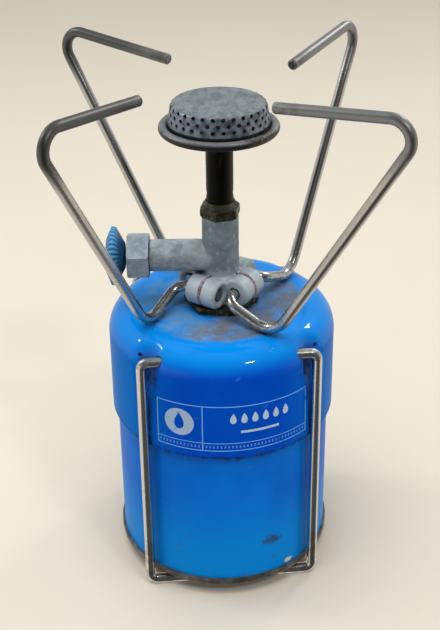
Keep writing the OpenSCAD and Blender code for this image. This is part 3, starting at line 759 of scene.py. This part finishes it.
def casing_shell():
    """The casing as one drawn sheet, with soft flutes, a hole for each hook and a small one above it."""
    outer = pressed_surface()
    turns = outer.shape[1]
    inner = outer - SHEET * grid_normals(outer)
    lip = (outer[:1] + inner[:1]) / 2 - np.array([0, 0, 0.2])
    rings = np.concatenate([outer, inner[::-1], lip])
    obj = new_piece("casing_shell", rings.reshape(-1, 3), ring_faces(len(rings), turns, close=True),
                    "casing_enamel", "root")
    for side in (-1, 1):
        for front in (-1, 1):
            x, y = side * LEG_XY, front * LEG_XY
            cut(obj, *drill((side * (LEG_XY - 8), y, PIVOT_Z), 0, 2.35, 12))
            cut(obj, *drill((x, front * (LEG_XY - 7), PIVOT_Z - 0.2), 1, 0.85, 8))
    smooth(obj, 40)
    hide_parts("casing")


casing_shell()


# ---- Cast valve body and punched holes ----

def add_modifier(obj, kind, **values):
    modifier = obj.modifiers.new(kind.lower(), kind)
    for name, value in values.items():
        setattr(modifier, name, value)
    return modifier


def cast_body():
    """The valve body keeps its place and size; its corners run together as a die casting's do."""
    obj = frame["nodes"]["valve_body"]
    add_modifier(obj, "REMESH", mode="VOXEL", voxel_size=0.3 * MM, use_smooth_shade=True)
    add_modifier(obj, "SMOOTH", factor=0.5, iterations=9)
    grain = bpy.data.textures.new("cast_lumps", "CLOUDS")
    grain.noise_scale = 5 * MM
    add_modifier(obj, "DISPLACE", texture=grain, texture_coords="LOCAL", strength=0.35 * MM, mid_level=0.5)


cast_body()


def hole_lips():
    """The raised lip that punching left round each flame hole."""
    holes, rows = 30, 3
    # Height of the lowest row over the cap's foot, and from row to row, where the drill meets the side
    row_rise, row_gap = 4.735, 2.328
    lip_r, wire_r = 0.93, 0.12
    crown_row_lean, crown_row_sink = 24, 0.13
    side = Vector((0, 1, 0))
    points, faces = [], []
    ring, tube = 18, 6
    for row in range(rows):
        rise = row_rise + row * row_gap
        r = CAP_R - (rise - CAP_STEP) * math.tan(math.radians(CAP_LEAN))
        # The top row lies where the side already turns over into the crown
        at_crown = row == rows - 1
        lean = math.radians(crown_row_lean if at_crown else CAP_LEAN)
        sink = crown_row_sink if at_crown else 0.06
        out = Vector((math.cos(lean), 0, math.sin(lean)))
        up = Vector((-math.sin(lean), 0, math.cos(lean)))
        for i in range(holes):
            turn = Matrix.Rotation(2 * math.pi / holes * (i + (row + 1) / 2), 3, "Z")
            base = len(points)
            for a in range(ring):
                spoke = math.cos(2 * math.pi * a / ring) * side + math.sin(2 * math.pi * a / ring) * up
                for b in range(tube):
                    swell = math.cos(2 * math.pi * b / tube)
                    lift = math.sin(2 * math.pi * b / tube)
                    middle = Vector((r, 0, CAP_Z + rise)) + out * (wire_r * lift - sink)
                    points.append(turn @ (middle + spoke * (lip_r + wire_r * swell)))
            for a in range(ring):
                for b in range(tube):
                    a2, b2 = (a + 1) % ring, (b + 1) % tube
                    faces.append((base + a * tube + b, base + a2 * tube + b,
                                  base + a2 * tube + b2, base + a * tube + b2))
    obj = new_piece("flame_hole_lips", np.array([tuple(p) for p in points]), faces, "sooty_steel", "burner")
    obj.data.shade_smooth()


hole_lips()


# ---- Floor, light and camera ----

def floor_material():
    p = Paint("studio_floor")
    color = p.mix(p.noise(260, detail=3), (0.58, 0.53, 0.44), (0.64, 0.585, 0.49))
    return p.finish(Base_Color=color, Roughness=0.85, Specular_IOR_Level=0.2)


def studio_floor():
    """A pale sheet that lies under the stove and sweeps up behind it."""
    half, back, rise, bend = 3.0, 1.6, 2.4, 0.7
    profile = [(-3.0, 0.0), (back - bend, 0.0)]
    profile += [(back - bend + bend * math.sin(a), bend - bend * math.cos(a))
                for a in np.radians(np.linspace(0, 90, 13))[1:]]
    profile.append((back, rise))
    points = [(x, y, z) for y, z in profile for x in (-half, half)]
    faces = [(2 * i, 2 * i + 1, 2 * i + 3, 2 * i + 2) for i in range(len(profile) - 1)]
    mesh = bpy.data.meshes.new("studio_floor")
    mesh.from_pydata(points, [], faces)
    mesh.shade_smooth()
    obj = bpy.data.objects.new("studio_floor", mesh)
    bpy.context.scene.collection.objects.link(obj)
    obj.visible_glossy = False
    obj.data.materials.append(floor_material())


def area_light(name, place, target, size, power, mirrored=True):
    """A soft lamp; one that isn't mirrored lights the stove but is never seen in its shine."""
    light = bpy.data.lights.new(name, "AREA")
    light.shape = "RECTANGLE"
    light.size, light.size_y = size
    light.energy = power
    obj = bpy.data.objects.new(name, light)
    bpy.context.scene.collection.objects.link(obj)
    obj.location = place
    obj.rotation_mode = "QUATERNION"
    obj.rotation_quaternion = (Vector(target) - Vector(place)).to_track_quat("-Z", "Y")
    obj.visible_glossy = mirrored


def surroundings():
    """Even soft light; what shines sees a bright room that is dark round the camera and dimmer overhead."""
    world = bpy.data.worlds.new("surroundings")
    world.use_nodes = True
    n = Nodes(world.node_tree)
    direction = n.coords.outputs["Generated"]
    y, z = n.xyz(direction)[1:]
    towards_camera = n.vector("DOT_PRODUCT", direction, (0.20, -0.98, 0.0))
    wider = n.math("MULTIPLY", n.ramp(z, -0.50, -0.64), 0.36)
    low = n.blend(n.ramp(n.math("ADD", towards_camera, wider), 0.50, 0.84), 0.74, 0.075)
    high = n.blend(n.ramp(y, -0.6, 0.4), 0.08, 0.65)
    seen = n.blend(n.ramp(z, 0.0, 0.35), low, high)
    even = n.blend(n.ramp(z, -0.2, 0.7), 0.34, 0.62)
    path = n.tree.nodes.new("ShaderNodeLightPath")
    background = n.tree.nodes["Background"]
    n.put(n.blend(path.outputs["Is Glossy Ray"], even, seen), background.inputs["Strength"])
    n.put(n.mix(n.ramp(z, -0.1, 0.2), (1.0, 0.94, 0.84), (0.93, 0.96, 1.0)), background.inputs["Color"])
    bpy.context.scene.world = world


def camera():
    """Looks at the stove's front from a little to its left, from above, as it is usually seen."""
    place = Vector((-35.8, -412.5, 351.4)) * MM
    azimuth, pitch, roll = math.radians(85.05), math.radians(25.5), math.radians(0.74)
    level = Vector((math.cos(azimuth), math.sin(azimuth), 0))
    forward = level * math.cos(pitch) - Vector((0, 0, math.sin(pitch)))
    right = forward.cross(Vector((0, 0, 1))).normalized()
    up = right.cross(forward)
    turned = math.cos(roll) * right - math.sin(roll) * up
    upright = turned.cross(forward)
    data = bpy.data.cameras.new("camera")
    data.sensor_width = 36
    data.lens = 65.15
    data.shift_y = -0.15
    data.clip_start, data.clip_end = 0.02, 20
    obj = bpy.data.objects.new("camera", data)
    bpy.context.scene.collection.objects.link(obj)
    turn = Matrix((turned, upright, -forward)).transposed()
    obj.matrix_world = Matrix.Translation(place) @ turn.to_4x4()
    bpy.context.scene.camera = obj


studio_floor()
surroundings()
area_light("overhead", (-0.15, -0.05, 1.25), (0, 0, 0.1), (1.1, 0.9), 14, mirrored=False)
area_light("front_lamp", (0.42, -0.76, 1.05), (0, 0, 0.1), (0.15, 0.08), 2.6)
area_light("right_lamp", (0.62, 0.55, 0.8), (0, 0, 0.1), (0.18, 0.10), 2.0)
area_light("left_lamp", (-0.82, 0.28, 0.8), (0, 0, 0.1), (0.18, 0.10), 2.0)
camera()
bpy.context.scene.view_settings.view_transform = "Standard"
